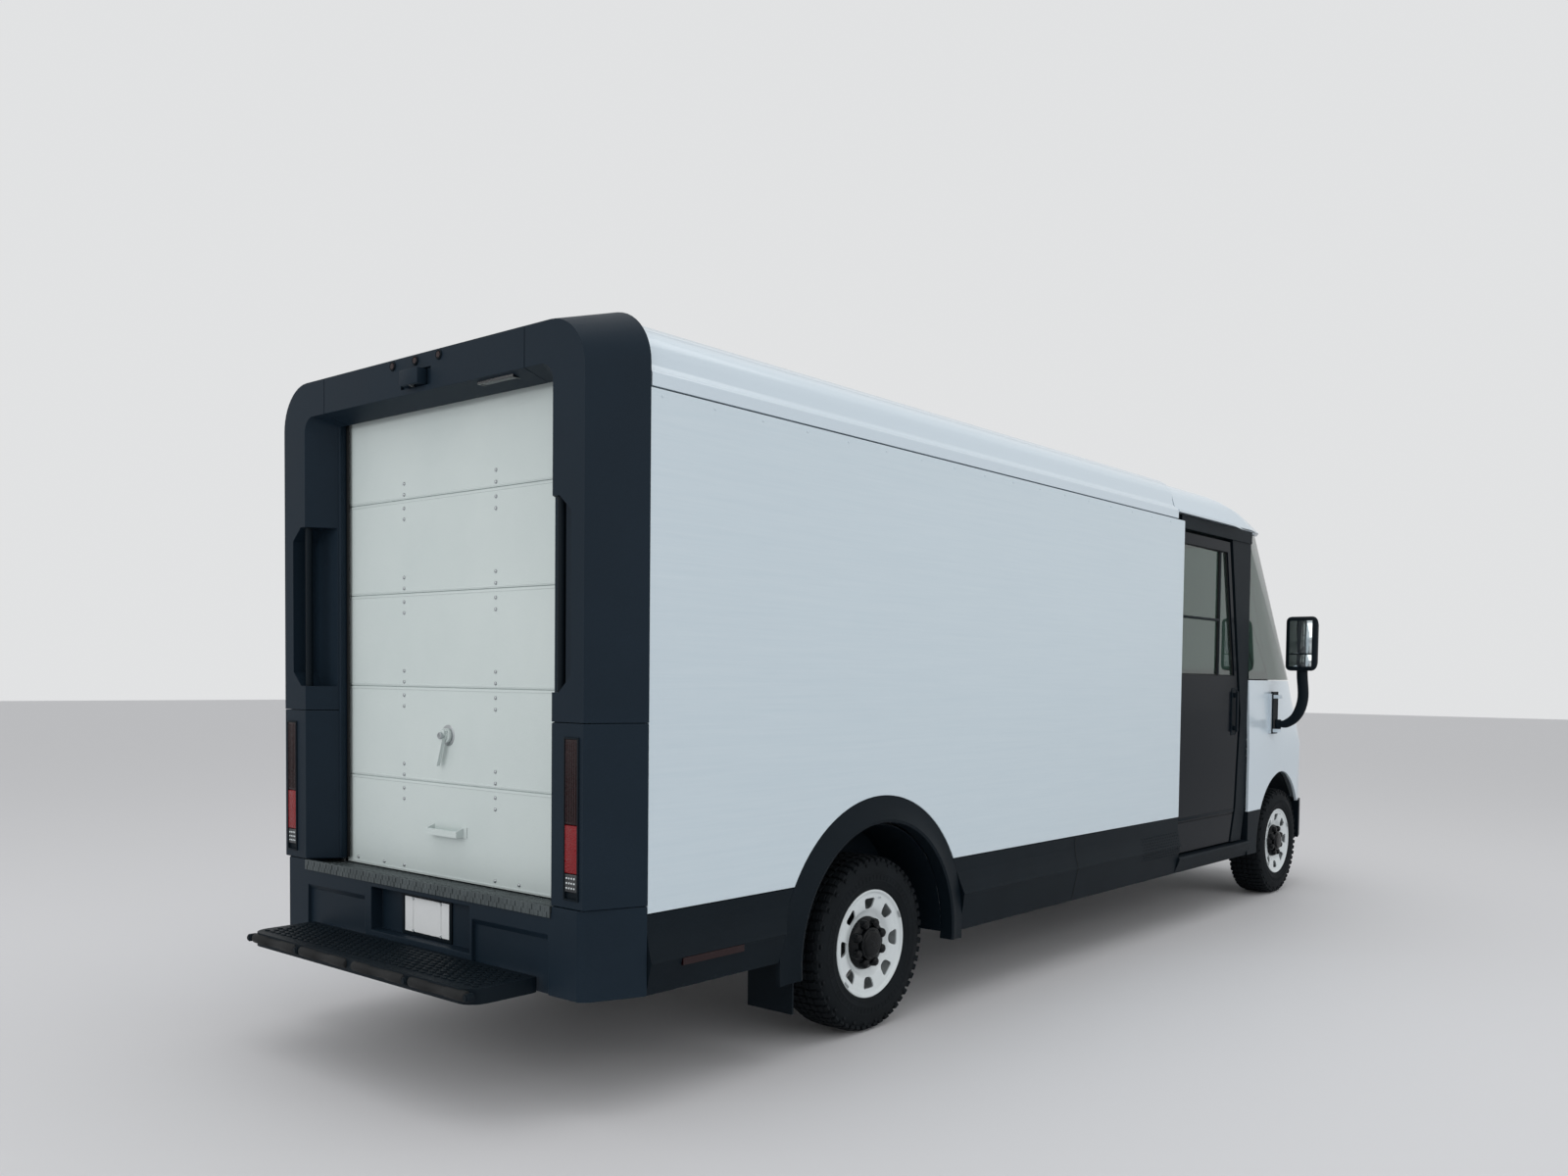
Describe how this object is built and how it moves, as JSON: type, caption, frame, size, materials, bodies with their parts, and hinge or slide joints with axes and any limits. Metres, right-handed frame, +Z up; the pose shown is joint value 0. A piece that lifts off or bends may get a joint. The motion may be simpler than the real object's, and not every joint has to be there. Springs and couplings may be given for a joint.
{
  "type": "mail delivery truck",
  "caption": "Walk-in delivery truck with a sectional rear door, rear step, sliding cab doors, steered front wheels and a cab open to the cargo bay.",
  "frame": {"origin": "on the ground under the centre of the overall box", "axes": "+X forward, +Y to the driver's left, +Z up"},
  "size_m": [7.274, 2.62, 2.69],
  "materials": {
    "frame_black": "satin",
    "battery_case": "matte",
    "deck_aluminium": "satin",
    "lining_grey": "satin",
    "body_white": "satin",
    "portal_plastic": "satin",
    "lamp_red": "gloss",
    "trim_black": "satin",
    "plate_white": "satin",
    "lamp_clear": "gloss",
    "glass_green": "gloss",
    "door_enamel": "satin",
    "door_steel": "satin",
    "lock_steel": "satin",
    "door_charcoal": "gloss",
    "tyre_rubber": "matte",
    "wheel_white": "satin",
    "seat_fabric": "matte"
  },
  "bodies": {
    "truck_body": {"chassis_frame": "frame_black", "battery_pack": "battery_case", "rear_axle": "frame_black", "cargo_floor": "deck_aluminium", "inner_walls": "lining_grey", "side_panel_left": "body_white", "side_panel_right": "body_white", "cargo_roof": "body_white", "cab_roof": "body_white", "rear_portal": "portal_plastic", "lamp_panels": "portal_plastic", "tail_lamps": "lamp_red", "rear_bumper": "portal_plastic", "rear_step": "trim_black", "sill_plate": "deck_aluminium", "grab_handles": "frame_black", "marker_lamps": "lamp_red", "rear_camera": "trim_black", "licence_plate": "plate_white", "lower_cladding": "trim_black", "fenders": "body_white", "front_panel": "trim_black", "headlamps": "lamp_clear", "windscreen": "glass_green", "cab_frame": "frame_black", "cab_floor": "trim_black", "bulkhead": "lining_grey", "dashboard": "trim_black", "door_tracks": "deck_aluminium"},
    "counterbalance": {"counterbalance_shaft": "door_steel"},
    "rear_door": {"door_panels": "door_enamel", "door_hinges": "door_steel", "door_rollers": "door_steel", "door_pull": "door_steel"},
    "lock": {"lock_lever": "lock_steel"},
    "cab_door_left_body": {"cab_door_left": "door_charcoal", "cab_door_left_glass": "glass_green"},
    "cab_door_right_body": {"cab_door_right": "door_charcoal", "cab_door_right_glass": "glass_green"},
    "bulkhead_door_body": {"bulkhead_door": "lining_grey"},
    "steer_left_body": {"knuckle_left": "frame_black"},
    "steer_right_body": {"knuckle_right": "frame_black"},
    "steering_wheel_body": {"steering_wheel": "trim_black"},
    "wheel_front_left": {"tyre_front_left": "tyre_rubber", "rim_front_left": "wheel_white"},
    "wheel_front_right": {"tyre_front_right": "tyre_rubber", "rim_front_right": "wheel_white"},
    "wheel_rear_left": {"tyre_rear_left": "tyre_rubber", "rim_rear_left": "wheel_white"},
    "wheel_rear_right": {"tyre_rear_right": "tyre_rubber", "rim_rear_right": "wheel_white"},
    "mirror_left_body": {"mirror_left": "trim_black"},
    "mirror_right_body": {"mirror_right": "trim_black"},
    "wiper_left_body": {"wiper_left": "trim_black"},
    "wiper_right_body": {"wiper_right": "trim_black"},
    "bonnet_body": {"bonnet": "trim_black"},
    "brake_pedal_body": {"brake_pedal": "frame_black"},
    "seat": {"seat_frame": "frame_black", "seat_cushion": "seat_fabric", "seat_back": "seat_fabric"}
  },
  "joints": [
    {"name": "door_lift", "type": "hinge", "parent": "truck_body", "child": "counterbalance", "pos_m": [-3.22, 0, 2.512], "axis": [0, -1, 0], "range_deg": [0, 88]},
    {"name": "rear_door_fold", "type": "hinge", "parent": "counterbalance", "child": "rear_door", "pos_m": [-3.22, 0, 1.606], "axis": [0, -1, 0], "range_deg": [-176, 0]},
    {"name": "lock_turn", "type": "hinge", "parent": "rear_door", "child": "lock", "pos_m": [-3.238, 0, 1.218], "axis": [1, 0, 0], "range_deg": [0, 90]},
    {"name": "cab_door_left_slide", "type": "slide", "parent": "truck_body", "child": "cab_door_left_body", "axis": [-1, 0, 0], "range_m": [0, 0.7]},
    {"name": "cab_door_right_slide", "type": "slide", "parent": "truck_body", "child": "cab_door_right_body", "axis": [-1, 0, 0], "range_m": [0, 0.7]},
    {"name": "bulkhead_door_slide", "type": "slide", "parent": "truck_body", "child": "bulkhead_door_body", "axis": [0, 1, 0], "range_m": [0, 0.6]},
    {"name": "steer_left", "type": "hinge", "parent": "truck_body", "child": "steer_left_body", "pos_m": [2.743, 0.7225, 0.362], "axis": [0, 0, 1], "range_deg": [-32, 32]},
    {"name": "steer_right", "type": "hinge", "parent": "truck_body", "child": "steer_right_body", "pos_m": [2.743, -0.7225, 0.362], "axis": [0, 0, 1], "range_deg": [-32, 32]},
    {"name": "steering_wheel_turn", "type": "hinge", "parent": "truck_body", "child": "steering_wheel_body", "pos_m": [1.523, 0.45, 1.29], "axis": [-0.848, 0, 0.5299], "range_deg": [-448, 448]},
    {"name": "wheel_front_left_spin", "type": "hinge", "parent": "steer_left_body", "child": "wheel_front_left", "pos_m": [2.743, 0.8725, 0.362], "axis": [0, 1, 0], "continuous": true},
    {"name": "wheel_front_right_spin", "type": "hinge", "parent": "steer_right_body", "child": "wheel_front_right", "pos_m": [2.743, -0.8725, 0.362], "axis": [0, 1, 0], "continuous": true},
    {"name": "wheel_rear_left_spin", "type": "hinge", "parent": "truck_body", "child": "wheel_rear_left", "pos_m": [-1.893, 0.8725, 0.362], "axis": [0, 1, 0], "continuous": true},
    {"name": "wheel_rear_right_spin", "type": "hinge", "parent": "truck_body", "child": "wheel_rear_right", "pos_m": [-1.893, -0.8725, 0.362], "axis": [0, 1, 0], "continuous": true},
    {"name": "mirror_left_fold", "type": "hinge", "parent": "truck_body", "child": "mirror_left_body", "pos_m": [2.503, 1.046, 1.25], "axis": [0, 0, 1], "range_deg": [0, 65]},
    {"name": "mirror_right_fold", "type": "hinge", "parent": "truck_body", "child": "mirror_right_body", "pos_m": [2.503, -1.046, 1.25], "axis": [0, 0, -1], "range_deg": [0, 65]},
    {"name": "wiper_left_sweep", "type": "hinge", "parent": "truck_body", "child": "wiper_left_body", "pos_m": [3.35174, 0.01, 1.51], "axis": [0.7649, 0, 0.6441], "range_deg": [0, 80]},
    {"name": "wiper_right_sweep", "type": "hinge", "parent": "truck_body", "child": "wiper_right_body", "pos_m": [3.35174, -0.56, 1.51], "axis": [0.7649, 0, 0.6441], "range_deg": [0, 80]},
    {"name": "bonnet_lift", "type": "hinge", "parent": "truck_body", "child": "bonnet_body", "pos_m": [3.373, 0, 1.469], "axis": [0, -1, 0], "range_deg": [0, 55]},
    {"name": "brake_pedal_press", "type": "hinge", "parent": "truck_body", "child": "brake_pedal_body", "pos_m": [2.473, 0.39, 0.86], "axis": [0, -1, 0], "range_deg": [0, 16], "stiffness_Nm_per_rad": 60, "springref_deg": -6.88},
    {"name": "seat_slide", "type": "slide", "parent": "truck_body", "child": "seat", "axis": [1, 0, 0], "range_m": [-0.1, 0.1]}
  ],
  "couplings": [
    {"joint": "rear_door_fold", "follows": "door_lift", "ratio": -2},
    {"joint": "steer_right", "follows": "steer_left", "ratio": 1},
    {"joint": "steering_wheel_turn", "follows": "steer_left", "ratio": 14},
    {"joint": "wiper_right_sweep", "follows": "wiper_left_sweep", "ratio": 1}
  ]
}
